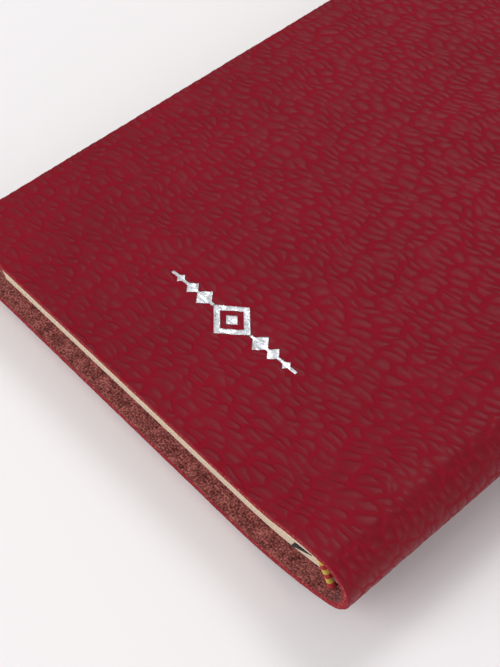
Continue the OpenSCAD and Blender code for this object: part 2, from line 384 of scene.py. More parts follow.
@dataclass(frozen=True)
class CutEdge:
    """The raw edge left by a blade: compressed fibres, pinker than the grain, with tan flecks.

    The dye didn't reach every fibre, so undyed ones show as flecks. They are
    drawn coarser than real ones, which are too fine to show.
    """

    deep: str = "#7e1c26"
    fibre: str = "#98303a"
    fleck: str = "#ae6154"
    fibre_mm: float = 0.22
    fibre_depth_mm: float = 0.12
    fleck_mm: float = 0.6

    def build(self) -> bpy.types.Material:
        """Makes the material, on Object coordinates, because the edge is narrower than the hide's.

        Returns:
            The material.
        """
        material, tree, shader = new_material("raw_cut_leather_edge")
        place = object_mm(tree)
        fibres, spots = (
            add(tree, "ShaderNodeTexNoise", {"Vector": place, "Scale": 1 / size_mm,
                                             "Detail": detail, "Roughness": FINER_SHARE})
            for size_mm, detail in ((self.fibre_mm, 3), (self.fleck_mm, 2)))
        flecks = add(tree, "ShaderNodeMapRange", {0: spots, 1: 0.53, 2: 0.66, 3: 0.0, 4: 0.8},
                     interpolation_type="SMOOTHSTEP")
        base = add(tree, "ShaderNodeValToRGB", {0: fibres}, stops=[(0.35, self.deep), (0.65, self.fibre)])
        colour = add(tree, "ShaderNodeMix", {0: flecks, 6: base.outputs[0], 7: linear(self.fleck)},
                     data_type="RGBA").outputs[2]
        relief = add(tree, "ShaderNodeBump", {"Strength": 1.0, "Distance": self.fibre_depth_mm * MM,
                                              "Height": fibres})
        connect(tree, shader, {"Base Color": colour, "Normal": relief, "Roughness": 0.9,
                               "Specular IOR Level": 0.06})
        return material


@dataclass(frozen=True)
class Paper:
    """Uncoated cream writing paper, calendered: matt, with a faint cloud of fibre.

    Each leaf's cut edge is painted darker than the paper, by its own amount: painted shade, standing for the
    shade in the thin gaps between the leaves.
    """

    name: str = "uncoated_cream_paper"
    light: str = "#eee0cc"
    dark: str = "#eadbc5"
    # The darker tone that cut edges are painted towards: painted shade between the leaves
    cut: str = "#c9b498"
    cloud_mm: float = 0.9
    fibre_mm: float = 0.25
    fibre_depth_mm: float = 0.02

    def build(self) -> bpy.types.Material:
        """Makes the material, on Object coordinates and each leaf's own shade.

        Returns:
            The material.
        """
        material, tree, shader = new_material(self.name)
        place = object_mm(tree)
        cloud, fibres = (
            add(tree, "ShaderNodeTexNoise", {"Vector": place, "Scale": 1 / size_mm,
                                             "Detail": detail, "Roughness": FINER_SHARE})
            for size_mm, detail in ((self.cloud_mm, 4), (self.fibre_mm, 3)))
        paper = add(tree, "ShaderNodeValToRGB", {0: cloud}, stops=[(0.35, self.dark), (0.65, self.light)])
        # Painted shade: each leaf's cut edge is mixed towards the cut tone by its own amount
        shade = add(tree, "ShaderNodeAttribute", attribute_name="leaf_shade").outputs["Fac"]
        colour = add(tree, "ShaderNodeMix", {0: shade, 6: paper, 7: linear(self.cut)},
                     data_type="RGBA").outputs[2]
        relief = add(tree, "ShaderNodeBump", {"Strength": 1.0, "Distance": self.fibre_depth_mm * MM,
                                              "Height": fibres})
        connect(tree, shader, {"Base Color": colour, "Normal": relief, "Roughness": 0.85,
                               "Specular IOR Level": 0.3})
        return material


@dataclass(frozen=True)
class SpunThread:
    """Spun cotton or linen thread: twisted strands, so it is matt with fine slanting shadows."""

    name: str
    colour: str
    shadow: str
    strand_mm: float = 0.09
    strand_depth_mm: float = 0.04

    def build(self) -> bpy.types.Material:
        """Makes the material, on Object coordinates.

        Returns:
            The material.
        """
        material, tree, shader = new_material(self.name)
        slanted = add(tree, "ShaderNodeVectorMath", {0: object_mm(tree), 1: (1.0, 1.0, 0.6)},
                      operation="MULTIPLY")
        wave = add(tree, "ShaderNodeTexWave", {"Vector": slanted, "Scale": 0.16 / self.strand_mm,
                                               "Distortion": 1.5, "Detail": 2.0},
                   bands_direction="DIAGONAL").outputs["Fac"]
        lit = add(tree, "ShaderNodeMapRange", {0: wave, 1: 0.1, 2: 0.8, 3: 0.0, 4: 1.0})
        colour = add(tree, "ShaderNodeMix", {0: lit, 6: linear(self.shadow), 7: linear(self.colour)},
                     data_type="RGBA").outputs[2]
        relief = add(tree, "ShaderNodeBump", {"Strength": 1.0, "Distance": self.strand_depth_mm * MM,
                                              "Height": wave})
        connect(tree, shader, {"Base Color": colour, "Normal": relief, "Roughness": 0.7,
                               "Sheen Weight": 0.2})
        return material


@dataclass(frozen=True)
class WovenCloth:
    """Plain-woven cloth: threads over and under each other at one spacing."""

    name: str
    colour: str
    gap: str
    thread_mm: float
    roughness: float = 0.85
    thread_depth_mm: float = 0.05

    def build(self) -> bpy.types.Material:
        """Makes the material, on Object coordinates.

        Returns:
            The material.
        """
        material, tree, shader = new_material(self.name)
        place = object_mm(tree)
        # A wave texture repeats every 2 pi / 20 units at a scale of 1
        scale = 0.31416 / self.thread_mm
        warp, weft = (
            add(tree, "ShaderNodeTexWave", {"Vector": place, "Scale": scale, "Distortion": 0.4,
                                            "Detail": 1.0}, bands_direction=direction).outputs["Fac"]
            for direction in ("X", "Y"))
        weave = add(tree, "ShaderNodeMath", {0: warp, 1: weft}, operation="MAXIMUM")
        lit = add(tree, "ShaderNodeMapRange", {0: weave, 1: 0.3, 2: 0.9, 3: 0.0, 4: 1.0})
        colour = add(tree, "ShaderNodeMix", {0: lit, 6: linear(self.gap), 7: linear(self.colour)},
                     data_type="RGBA").outputs[2]
        relief = add(tree, "ShaderNodeBump", {"Strength": 1.0, "Distance": self.thread_depth_mm * MM,
                                              "Height": weave})
        connect(tree, shader, {"Base Color": colour, "Normal": relief, "Roughness": self.roughness,
                               "Sheen Weight": 0.15})
        return material


@dataclass(frozen=True)
class StampedFoil:
    """Silver foil pressed on hot: bright metal, broken by the leather's pores."""

    metal: str = "#e3e5e8"
    worn: str = "#b9bcc2"
    wear_mm: float = 0.5
    wear_depth_mm: float = 0.03

    def build(self) -> bpy.types.Material:
        """Makes the material, on the hide's own coordinates.

        Returns:
            The material.
        """
        material, tree, shader = new_material("hot_stamped_silver_foil")
        hide = add(tree, "ShaderNodeAttribute", attribute_name="hide").outputs["Vector"]
        wear = add(tree, "ShaderNodeTexNoise", {"Vector": hide, "Scale": 1 / self.wear_mm,
                                                "Detail": 3, "Roughness": FINER_SHARE})
        colour = add(tree, "ShaderNodeValToRGB", {0: wear}, stops=[(0.4, self.worn), (0.6, self.metal)])
        relief = add(tree, "ShaderNodeBump", {"Strength": 1.0, "Distance": self.wear_depth_mm * MM,
                                              "Height": wear})
        rough = add(tree, "ShaderNodeMapRange", {0: wear, 1: 0.3, 2: 0.7, 3: 0.5, 4: 0.34})
        connect(tree, shader, {"Base Color": colour, "Normal": relief, "Roughness": rough,
                               "Metallic": 0.75})
        return material


# -------------------------------------------------------------------- meshes


def make_object(name: str, vertices: Any, faces: Any, materials: Sequence[bpy.types.Material],
                smooth: bool = True) -> bpy.types.Object:
    """A mesh object at the origin, with its place in its mesh.

    Args:
        name: the object's and the mesh's name.
        vertices: points in metres.
        faces: lists of vertex numbers.
        materials: what goes in the mesh's slots, in order.
        smooth: shades across the faces' edges.

    Returns:
        The linked object.
    """
    mesh = bpy.data.meshes.new(name)
    mesh.from_pydata([tuple(v) for v in vertices], [], [tuple(f) for f in faces])
    for material in materials:
        mesh.materials.append(material)
    mesh.shade_smooth() if smooth else mesh.shade_flat()
    obj = bpy.data.objects.new(name, mesh)
    bpy.context.scene.collection.objects.link(obj)
    return obj


def face_outwards(obj: bpy.types.Object) -> None:
    """Turns the faces of closed shells so that they all point out.

    Args:
        obj: the mesh object, changed in place.
    """
    work = bmesh.new()
    work.from_mesh(obj.data)
    bmesh.ops.recalc_face_normals(work, faces=work.faces)
    work.to_mesh(obj.data)
    work.free()


def bake_nodes(obj: bpy.types.Object) -> bpy.types.Object:
    """Turns what the object's modifiers make into its plain mesh and removes them.

    Args:
        obj: the mesh object, changed in place.

    Returns:
        The same object.
    """
    graph = bpy.context.evaluated_depsgraph_get()
    mesh = bpy.data.meshes.new_from_object(obj.evaluated_get(graph), preserve_all_data_layers=True,
                                           depsgraph=graph)
    old = obj.data
    obj.modifiers.clear()
    obj.data = mesh
    mesh.name = old.name
    bpy.data.meshes.remove(old)
    return obj


def node_group(name: str, inputs: Sequence[tuple[str, str, Any]]) -> bpy.types.NodeTree:
    """An empty geometry tree with a geometry input, named inputs and a geometry output.

    Args:
        name: the tree's name.
        inputs: name, socket type and default of each further input.

    Returns:
        The tree.
    """
    tree = bpy.data.node_groups.new(name, "GeometryNodeTree")
    tree.interface.new_socket("Geometry", in_out="INPUT", socket_type="NodeSocketGeometry")
    for label, kind, default in inputs:
        socket = tree.interface.new_socket(label, in_out="INPUT", socket_type=kind)
        if default is not None:
            socket.default_value = default
    tree.interface.new_socket("Geometry", in_out="OUTPUT", socket_type="NodeSocketGeometry")
    return tree


def use_group(obj: bpy.types.Object, tree: bpy.types.NodeTree, **values: Any) -> None:
    """Adds the tree to obj as a modifier and sets its inputs by their identifiers.

    Args:
        obj: the mesh object.
        tree: the geometry tree.
        values: what goes in the tree's inputs, by their names.
    """
    modifier = obj.modifiers.new(tree.name, "NODES")
    modifier.node_group = tree
    known = {item.name: item.identifier for item in tree.interface.items_tree if item.in_out == "INPUT"}
    for label, value in values.items():
        modifier[known[label]] = value


def add_attribute(obj: bpy.types.Object, name: str, kind: str, domain: str, values: Any) -> None:
    """Stores one value for each point or face of the mesh under a name.

    Args:
        obj: the mesh object.
        name: the attribute's name.
        kind: its data type.
        domain: POINT or FACE.
        values: one value or vector for each, in order.
    """
    attribute = obj.data.attributes.new(name, kind, domain)
    field_name = "vector" if kind == "FLOAT_VECTOR" else "value"
    attribute.data.foreach_set(field_name, np.asarray(values).ravel())


# ------------------------------------------------------------ the shape of it


@dataclass
class Section:
    """The notebook seen from its tail: the line of the leather, and of every leaf."""

    leather_t: float = 1.7 * MM
    # The long curve by which the front cover leaves the floor
    lift_r: float = 70 * MM
    lift_angle: float = math.radians(21.5)
    # The upper half of the rounded back, and the bulge over the back cover
    back_r: float = 6.2 * MM
    bulge_h: float = 2.3 * MM
    bulge_run: float = 19 * MM
    page_w: float = 103.7 * MM
    # How far the folds lean back from the front of the block to its back
    spine_lean: float = 4.2 * MM
    # Where the two skins meet, round the lower half of the rounded back
    seam_angle: float = math.radians(-43)

    def __post_init__(self) -> None:
        """Takes the places from the frame and works out the arcs' centres."""
        back_low, back_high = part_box("back_cover_leather")
        spine_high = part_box("spine_leather")[1]
        block_low, block_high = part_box("section_1")
        self.fore_x = back_low.x
        self.tail_y, self.head_y = back_low.y, back_high.y
        self.page_tail_y, self.page_head_y = block_low.y, block_high.y
        self.nose_x = spine_high.x
        self.top_z = spine_high.z
        self.closed_t = self.top_z - self.bulge_h
        self.stack_t = self.closed_t - 2 * self.leather_t
        self.nose_z = self.top_z - self.back_r
        drop = self.lift_r * (1 - math.cos(self.lift_angle))
        self.nose_r = (self.nose_z - drop) / math.cos(self.lift_angle)
        self.nose_centre_x = self.nose_x - self.nose_r
        self.lift_x = self.nose_centre_x + (self.nose_r - self.lift_r) * math.sin(self.lift_angle)
        self.back_hinge_x = self.nose_x - self.back_r
        self.rise_x = self.back_hinge_x - self.bulge_run
        self.bulge_angle = 2 * math.atan(self.bulge_h / self.bulge_run)
        self.bulge_r = self.bulge_run / 2 / math.sin(self.bulge_angle)
        self.front_fold_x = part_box("front_pastedown")[1].x

    def arcs(self, cover: Cover) -> list[tuple[float, float, float, float, float, float]]:
        """The arcs of the outer line from the seam in the back to where a cover goes flat.

        Args:
            cover: which way to go from the seam.

        Returns:
            Centre x, centre z, radius, first angle, last angle, and 1 or -1 for a
            bend away from or towards the outside.
        """
        nose = (self.nose_centre_x, self.nose_z, self.nose_r)
        if cover is Cover.BACK:
            right = math.pi / 2
            return [
                (*nose, self.seam_angle, 0.0, 1),
                (self.back_hinge_x, self.nose_z, self.back_r, 0.0, right, 1),
                (self.back_hinge_x, self.top_z - self.bulge_r, self.bulge_r,
                 right, right + self.bulge_angle, 1),
                (self.rise_x, self.closed_t + self.bulge_r, self.bulge_r,
                 self.bulge_angle - right, -right, -1)]
        down = -math.pi / 2
        return [
            (*nose, self.seam_angle, down + self.lift_angle, 1),
            (self.lift_x, self.lift_r, self.lift_r, down + self.lift_angle, down, 1)]

    def line(self, cover: Cover, step: float, edge_inset: float) -> np.ndarray:
        """Points of the outer line, evenly spaced, from the seam to the fore edge.

        Args:
            cover: which way to go from the seam.
            step: the spacing aimed at.
            edge_inset: how far short of the fore edge the line stops.

        Returns:
            Rows of x, z, outward normal x, outward normal z and distance along
            the line, odd in number.
        """
        arcs = self.arcs(cover)
        flat_z = self.closed_t if cover is Cover.BACK else 0.0
        flat_from = arcs[-1][0]
        lengths = [r * abs(a1 - a0) for _, _, r, a0, a1, _ in arcs]
        curved = sum(lengths)
        total = curved + flat_from - (self.fore_x + edge_inset)
        count = 2 * round(total / step / 2) + 1
        rows = []
        for s in np.linspace(0, total, count):
            rest = s
            for (cx, cz, r, a0, a1, side), length in zip(arcs, lengths):
                if rest <= length:
                    a = a0 + (a1 - a0) * rest / length
                    rows.append((cx + r * math.cos(a), cz + r * math.sin(a),
                                 side * math.cos(a), side * math.sin(a), s))
                    break
                rest -= length
            else:
                up = 1.0 if cover is Cover.BACK else -1.0
                rows.append((flat_from - (s - curved), flat_z, 0.0, up, s))
        return np.array(rows)

    def front_inside_z(self, x: float) -> float:
        """Height of the inside of the front cover's leather.

        Args:
            x: place from fore edge to spine.

        Returns:
            The height in metres.
        """
        if x <= self.lift_x:
            return self.leather_t
        return self.lift_r - math.sqrt((self.lift_r - self.leather_t) ** 2 - (x - self.lift_x) ** 2)

    def back_inside_z(self, x: float) -> float:
        """Height of the inside of the back cover's leather.

        Args:
            x: place from fore edge to spine.

        Returns:
            The height in metres.
        """
        if x <= self.rise_x:
            return self.closed_t - self.leather_t
        low_r = self.bulge_r + self.leather_t
        if x <= self.rise_x + low_r * math.sin(self.bulge_angle):
            return self.closed_t + self.bulge_r - math.sqrt(low_r ** 2 - (x - self.rise_x) ** 2)
        high_r = self.bulge_r - self.leather_t
        return self.top_z - self.bulge_r + math.sqrt(high_r ** 2 - (x - self.back_hinge_x) ** 2)

    def leaf_z(self, x: float, s: float) -> float:
        """Height at x of the surface that lies s up the flat stack of leaves.

        Args:
            x: place from fore edge to spine.
            s: height in the flat stack.

        Returns:
            The height in metres.
        """
        low = self.front_inside_z(x)
        return low + (self.back_inside_z(x) - low) * s / self.stack_t

    def fold_x(self, s: float) -> float:
        """Where the surface s up the stack meets the folds.

        Args:
            s: height in the flat stack.

        Returns:
            The place along X in metres.
        """
        return self.front_fold_x - self.spine_lean * s / self.stack_t


@dataclass
class LeatherSkin:
    """One half of the wrap, from the seam hidden under the back to a fore edge."""

    section: Section
    cover: Cover
    materials: dict[Side, bpy.types.Material]
    step: float = 0.62 * MM
    row_step: float = 0.52 * MM
    corner_r: float = 4 * MM
    round_over: float = 0.35 * MM
    corner_points: int = 9
    grain_rings: int = 2
    # The cut edge's wobble, as a share of how far it stands out, and the number
    # of rows next to the seam over which it fades
    wobble: float = 0.1
    seam_length: int = 4
    # How far the hide's coordinates run on over the cut edge, and how fast the
    # grain's relief fades down it
    edge_run_mm: float = 0.8
    edge_fade: float = 3.0
    sharp_angle: float = math.radians(60)
    blend_reach: float = 2.4 * MM
    # How far each ring of the cut edge stands out, as a share of round_over,
    # and how deep it lies, as a share of the leather's thickness
    rings: tuple[tuple[float, float], ...] = (
        (0.55, 0.03), (0.95, 0.13), (1.0, 0.35), (0.98, 0.6), (0.95, 0.85), (0.6, 0.97))

    @property
    def name(self) -> str:
        """The piece's name."""
        return f"{self.cover.value}_leather_skin"

    def _rows(self) -> tuple[np.ndarray, np.ndarray, np.ndarray]:
        """Y of each row, how much its fore end is drawn back, and its corner angle."""
        radius = self.corner_r - self.round_over
        low, high = self.section.tail_y + self.round_over, self.section.head_y - self.round_over
        angles = np.linspace(0, math.pi / 2, self.corner_points)
        ends = radius * (1 - np.cos(angles))
        drawn = radius * (1 - np.sin(angles))
        middle = np.linspace(low + radius, high - radius,
                             2 * round((high - low - 2 * radius) / self.row_step / 2) + 1)[1:-1]
        y = np.concatenate([low + ends, middle, (high - ends)[::-1]])
        back = np.concatenate([drawn, np.zeros(len(middle)), drawn[::-1]])
        turn = np.concatenate([angles, np.full(len(middle), math.pi / 2), math.pi - angles[::-1]])
        return y, back, turn

    def _grid(self) -> tuple[np.ndarray, np.ndarray, np.ndarray, np.ndarray]:
        """The outer face: points, normals and hide coordinates, and the rows' corner angles."""
        line = self.section.line(self.cover, self.step, self.round_over)
        y, back, turn = self._rows()
        total = line[-1, 4]
        soft = 2 * self.corner_r
        points = np.zeros((len(line), len(y), 3))
        normals = np.zeros_like(points)
        hide = np.zeros_like(points)
        sign = -1 if self.cover is Cover.BACK else 1
        for j in range(len(y)):
            over = np.clip(line[:, 4] - (total - soft), 0, None)
            shift = over * back[j] / soft
            points[:, j, 0] = line[:, 0] + shift
            points[:, j, 1] = y[j]
            points[:, j, 2] = line[:, 1]
            normals[:, j, 0] = line[:, 2]
            normals[:, j, 2] = line[:, 3]
            hide[:, j, 0] = sign * (line[:, 4] - shift) / MM
            hide[:, j, 1] = y[j] / MM
        return points, normals, hide, turn

    def _loop(self, nu: int, nv: int) -> list[tuple[int, int]]:
        """The points round the rim of the outer face, in order.

        Args:
            nu: number of points from the seam to the fore edge.
            nv: number of points from tail to head.

        Returns:
            The two numbers of each point.
        """
        return ([(i, 0) for i in range(nu)] + [(nu - 1, j) for j in range(1, nv)]
                + [(i, nv - 1) for i in range(nu - 2, -1, -1)] + [(0, j) for j in range(nv - 2, 0, -1)])

    def _faces(self, outer: tuple[int, int], inner: tuple[int, int], loop: list[tuple[int, int]],
               ring_start: list[np.ndarray], count: int) -> tuple[list[tuple[int, ...]], list[int]]:
        """The skin's faces, and the side of the leather that each one is on.

        Args:
            outer: number of points of the grain face, each way.
            inner: number of points of the flesh side, each way.
            loop: the points round the rim of the grain face.
            ring_start: the vertices of each ring of the cut edge.
            count: number of the flesh side's first vertex.

        Returns:
            The faces, and a number of Side for each.
        """
        (nu, nv), (iu, iv) = outer, inner
        faces: list[tuple[int, ...]] = []
        sides: list[int] = []
        for i in range(nu - 1):
            for j in range(nv - 1):
                a = i * nv + j
                faces.append((a, a + 1, a + nv + 1, a + nv))
                sides.append(Side.GRAIN.value)
        for r, (upper, lower) in enumerate(zip(ring_start, ring_start[1:])):
            for k in range(len(loop)):
                nxt = (k + 1) % len(loop)
                faces.append((upper[k], upper[nxt], lower[nxt], lower[k]))
                sides.append(Side.GRAIN.value if r < self.grain_rings else Side.EDGE.value)
        last = ring_start[-1]
        inside = [count + (i // 2) * iv + j // 2 for i, j in loop]
        for k in range(0, len(loop), 2):
            a0, a1, a2 = last[k], last[k + 1], last[(k + 2) % len(loop)]
            b0, b1 = inside[k], inside[(k + 2) % len(loop)]
            faces += [(a0, a1, b0), (a1, b1, b0), (a1, a2, b1)]
            sides += [Side.FLESH.value] * 3
        for i in range(iu - 1):
            for j in range(iv - 1):
                a = count + i * iv + j
                faces.append((a, a + 1, a + iv + 1, a + iv))
                sides.append(Side.FLESH.value)
        return faces, sides

    def build(self) -> bpy.types.Object:
        """Makes the closed skin: grain face, cut edges and flesh side.

        Returns:
            The finished piece.
        """
        points, normals, hide, turn = self._grid()
        nu, nv = points.shape[:2]
        loop = self._loop(nu, nv)
        out = np.zeros((len(loop), 3))
        for k, (i, j) in enumerate(loop):
            if j == 0 or j == nv - 1:
                out[k] = (0, -1 if j == 0 else 1, 0)
            elif i == nu - 1:
                out[k] = (-math.sin(turn[j]), -math.cos(turn[j]), 0)
        index = {cell: cell[0] * nv + cell[1] for cell in loop}
        vertices = [points.reshape(-1, 3)]
        hides = [hide.reshape(-1, 3)]
        masks = [np.ones(nu * nv)]
        base = np.array([points[c] for c in loop])
        base_n = np.array([normals[c] for c in loop])
        base_h = np.array([hide[c] for c in loop])
        ring_start = [np.array([index[c] for c in loop])]
        count = nu * nv
        rng = np.random.default_rng(11 if self.cover is Cover.BACK else 12)
        rough = np.convolve(rng.normal(0, 1, len(loop) + 6), np.ones(3) / 3, "same")[3:-3]
        rough *= [min(1.0, i / self.seam_length) for i, _ in loop]
        outward = [normals.reshape(-1, 3)]
        for share, depth in self.rings:
            uneven = 1 + self.wobble * rough * math.sin(math.pi * depth)
            stand = out * (share * self.round_over * uneven)[:, None]
            vertices.append(base + stand - base_n * depth * self.section.leather_t)
            hides.append(base_h + out * depth * self.edge_run_mm)
            masks.append(np.full(len(loop), max(0.0, 1 - self.edge_fade * depth)))
            outward.append(base_n)
            ring_start.append(count + np.arange(len(loop)))
            count += len(loop)
        inner = points[::2, ::2] - normals[::2, ::2] * self.section.leather_t
        iu, iv = inner.shape[:2]
        vertices.append(inner.reshape(-1, 3))
        hides.append(hide[::2, ::2].reshape(-1, 3))
        masks.append(np.zeros(iu * iv))
        outward.append(-normals[::2, ::2].reshape(-1, 3))
        faces, sides = self._faces((nu, nv), (iu, iv), loop, ring_start, count)
        obj = make_object(self.name, np.concatenate(vertices), faces,
                          [self.materials[side] for side in Side])
        add_attribute(obj, "hide", "FLOAT_VECTOR", "POINT", np.concatenate(hides))
        add_attribute(obj, "grain_mask", "FLOAT", "POINT", np.concatenate(masks))
        add_attribute(obj, "outward", "FLOAT_VECTOR", "POINT", np.concatenate(outward))
        add_attribute(obj, "side", "INT", "FACE", sides)
        face_outwards(obj)
        use_group(obj, relief_tree(self.materials), Depth=GRAIN.depth_mm * MM)
        bake_nodes(obj)
        obj.data.set_sharp_from_angle(angle=self.sharp_angle)
        self._attach(obj)
        return obj

    def _attach(self, obj: bpy.types.Object) -> None:
        """Hides the frame's pieces of leather that the skin stands in for, and bakes its place into its mesh.

        Args:
            obj: the baked skin.
        """
        if self.cover is Cover.BACK:
            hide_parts("back_cover_leather", "spine_leather")
        else:
            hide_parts("front_cover_leather")
        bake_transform(obj)


_trees: dict[str, bpy.types.NodeTree] = {}


def relief_tree(materials: dict[Side, bpy.types.Material]) -> bpy.types.NodeTree:
    """The geometry tree that presses the grain into a skin and dresses its sides.

    Args:
        materials: what each side of the leather is dressed in.

    Returns:
        The tree, made once.
    """
    if "relief" in _trees:
        return _trees["relief"]
    tree = node_group("pebble_relief", [("Depth", "NodeSocketFloat", GRAIN.depth_mm * MM)])
    start = add(tree, "NodeGroupInput")
    stored = {"hide": "FLOAT_VECTOR", "grain_mask": "FLOAT", "side": "INT", "outward": "FLOAT_VECTOR"}
    hide, mask, side, outward = (
        add(tree, "GeometryNodeInputNamedAttribute", {"Name": name}, data_type=kind)
        for name, kind in stored.items())
    sink = add(tree, "ShaderNodeMath", {0: GRAIN.height(tree, hide), 1: 1.0}, operation="SUBTRACT")
    for factor in (start.outputs["Depth"], mask):
        sink = add(tree, "ShaderNodeMath", {0: sink, 1: factor}, operation="MULTIPLY")
    offset = add(tree, "ShaderNodeVectorMath", {0: outward, "Scale": sink}, operation="SCALE")
    shaped = add(tree, "GeometryNodeSetPosition", {"Geometry": start, "Offset": offset})
    dressed = add(tree, "GeometryNodeRealizeInstances", {0: shaped})
    for each in Side:
        same = add(tree, "FunctionNodeCompare", {2: side, 3: each.value},
                   data_type="INT", operation="EQUAL")
        dressed = add(tree, "GeometryNodeSetMaterial",
                      {"Geometry": dressed, "Selection": same, "Material": materials[each]})
    add(tree, "NodeGroupOutput", {0: dressed})
    _trees["relief"] = tree
    return tree


@dataclass
class PageBlock:
    """The sewn sections, each a pile of thin leaves, and the plain leaves round them."""

    section: Section
    paper: bpy.types.Material
    endpaper: bpy.types.Material
    thread: bpy.types.Material
    lining: bpy.types.Material
    leaves: int = 12
    section_t: float = 1.2 * MM
    endpaper_t: float = 0.25 * MM
    leaf_gap: float = 0.08 * MM
    air: float = 0.014 * MM
    ragged: float = 0.05 * MM
    # How far a leaf's cut edge may be painted darker: painted shade between the leaves
    edge_shade: float = 0.75
    fold_depth: float = 0.35 * MM
    section_count: int = 10
    curve_points: int = 22

    def first_s(self) -> float:
        """Height of the first section in the flat stack."""
        return 2 * (self.endpaper_t + self.leaf_gap)

    def section_s(self, number: int) -> float:
        """Height of a section in the flat stack, counted from 1 at the front.

        Args:
            number: which section.

        Returns:
            The height of its underside.
        """
        extra = self.leaf_gap if number == self.section_count else 0.0
        return self.first_s() + (number - 1) * self.section_t + extra

    def _leaf(self, s0: float, s1: float, x0: float, x1: float, y0: float, y1: float,
              start: int) -> tuple[list, list, list]:
        """One leaf, or a stretch of one, as a closed slab.

        Args:
            s0: height of its underside in the flat stack.
            s1: height of its top.
            x0: its end towards the fore edge.
            x1: its end towards the folds.
            y0: its tail edge.
            y1: its head edge.
            start: number of its first vertex in the mesh.

        Returns:
            Its vertices, its faces, and 1 for each face that is a cut edge, else 0.
        """
        bend = min(self.section.lift_x, self.section.rise_x)
        xs = [x0] if x0 < bend else []
        xs += list(np.linspace(max(bend, x0), x1, self.curve_points))
        vertices = []
        for x in xs:
            for y, s in ((y0, s0), (y1, s0), (y1, s1), (y0, s1)):
                vertices.append((x, y, self.section.leaf_z(x, s)))
        faces = []
        for i in range(len(xs) - 1):
            a = start + 4 * i
            for k in range(4):
                faces.append((a + k, a + (k + 1) % 4, a + 4 + (k + 1) % 4, a + 4 + k))
        end = start + 4 * (len(xs) - 1)
        faces.append((start + 3, start + 2, start + 1, start))
        faces.append((end, end + 1, end + 2, end + 3))
        return vertices, faces, [0, 1, 0, 1] * (len(xs) - 1) + [1, 1]

    def build_section(self, number: int, gap: tuple[float, float, float] | None = None) -> bpy.types.Object:
        """Makes one section.

        Args:
            number: which one, counted from 1 at the front.
            gap: from x, to x and height in the stack of room left for the ribbon.

        Returns:
            The finished piece.
        """
        last = number == self.section_count
        node = "last_section" if last else f"section_{number}"
        rng = np.random.default_rng(100 + number)
        pitch = self.section_t / self.leaves
        base = self.section_s(number)
        vertices: list = []
        faces: list = []
        shades: list[float] = []
        for i in range(self.leaves):
            s0 = base + i * pitch + self.air / 2
            s1 = base + (i + 1) * pitch - self.air / 2
            across = (i + 0.5) / self.leaves * 2 - 1
            fold = self.section.fold_x(s0) - self.fold_depth * (1 - math.sqrt(1 - across ** 2))
            fore = self.section.fold_x(s0) - self.section.page_w + abs(rng.normal(0, self.ragged))
            tail = self.section.page_tail_y + abs(rng.normal(0, self.ragged))
            head = self.section.page_head_y - abs(rng.normal(0, self.ragged))
            stretches = [(fore, fold)]
            if gap and s0 < gap[2]:
                stretches = [(fore, gap[0]), (gap[1], fold)]
            for x0, x1 in stretches:
                more, more_faces, is_cut = self._leaf(s0, s1, x0, x1, tail, head, len(vertices))
                vertices += more
                faces += more_faces
                # Painted shade: how much darker this leaf's cut edges are painted
                shade = rng.uniform(0.0, self.edge_shade)
                shades += [shade * cut for cut in is_cut]
        obj = make_object(f"{node}_leaves", vertices, faces, [self.paper], smooth=False)
        add_attribute(obj, "leaf_shade", "FLOAT", "FACE", shades)
        face_outwards(obj)
        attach(obj, "last_section_leaves" if last else "block")
        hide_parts(node)
        return obj

    def dress_nodes(self) -> None:
        """Gives the plain leaves, the thread and the lining their materials."""
        dress = {"back_pastedown": self.endpaper, "front_pastedown": self.endpaper,
                 "back_flyleaf": self.endpaper, "front_flyleaf": self.endpaper,
                 "sewing_thread": self.thread, "spine_lining": self.lining}
        for node, material in dress.items():
            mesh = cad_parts[node].data
            mesh.materials.clear()
            mesh.materials.append(material)


